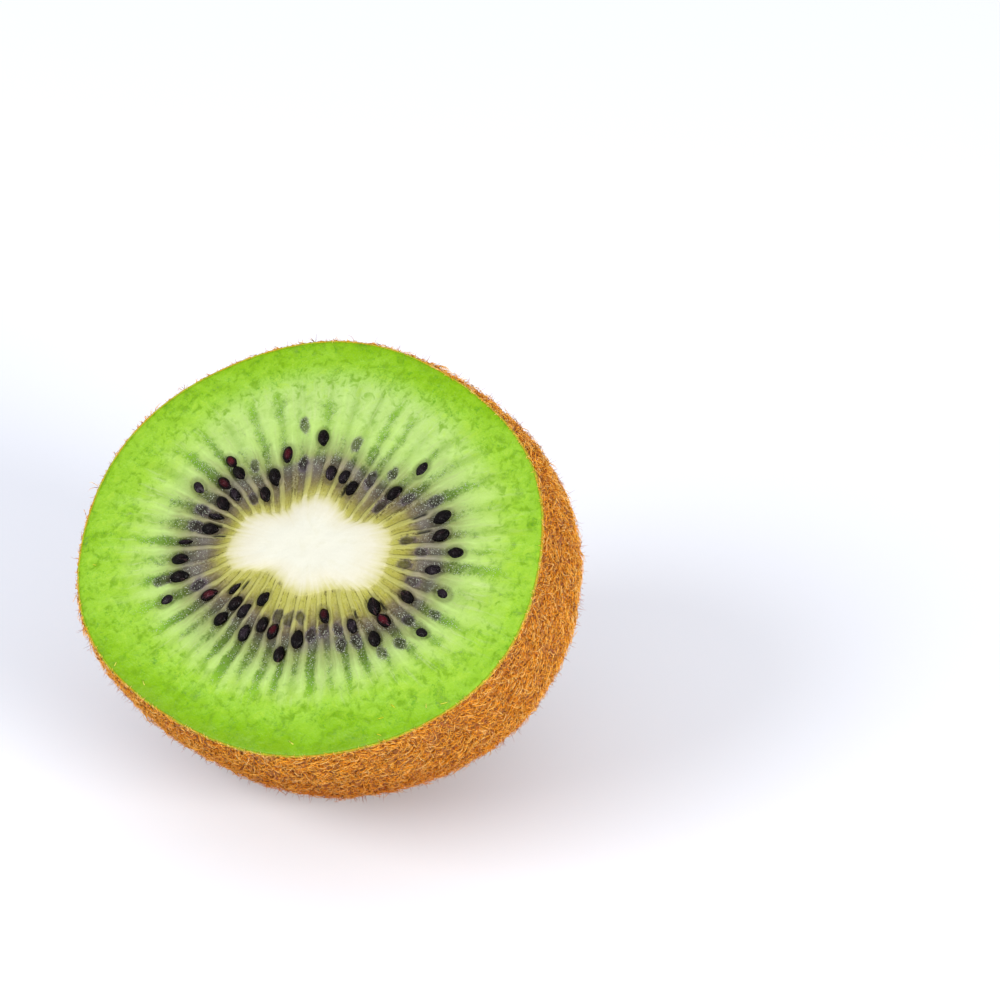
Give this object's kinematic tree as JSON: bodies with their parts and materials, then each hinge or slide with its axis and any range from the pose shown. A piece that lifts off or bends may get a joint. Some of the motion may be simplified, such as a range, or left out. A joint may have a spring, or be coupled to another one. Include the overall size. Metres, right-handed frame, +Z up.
{
  "type": "kiwi fruit half",
  "caption": "Half of a kiwi fruit cut across: a hairy brown skin, green flesh with a ring of dark seeds, and a pale core. It lies on the round of its skin, cut face up and forward.",
  "frame": {"origin": "middle of the small flat spot on the belly that the half rests on", "axes": "+Z up, +X to the right along the cut's wide side, -Y to the front, where the cut face looks, leaning back by 37 degrees from level"},
  "size_m": [0.0539, 0.0482, 0.0456],
  "materials": {
    "flesh": "wet translucent green fruit flesh with dark green cells and pale walls",
    "core": "moist creamy white pith",
    "seed": "glossy pitted black seed coat",
    "skin": "thin brown skin under short hair",
    "hair": "short dry golden brown hairs",
    "scar": "dry woody end scar"
  },
  "bodies": {
    "root": {"flesh": "flesh", "core": "core"}
  },
  "joints": []
}
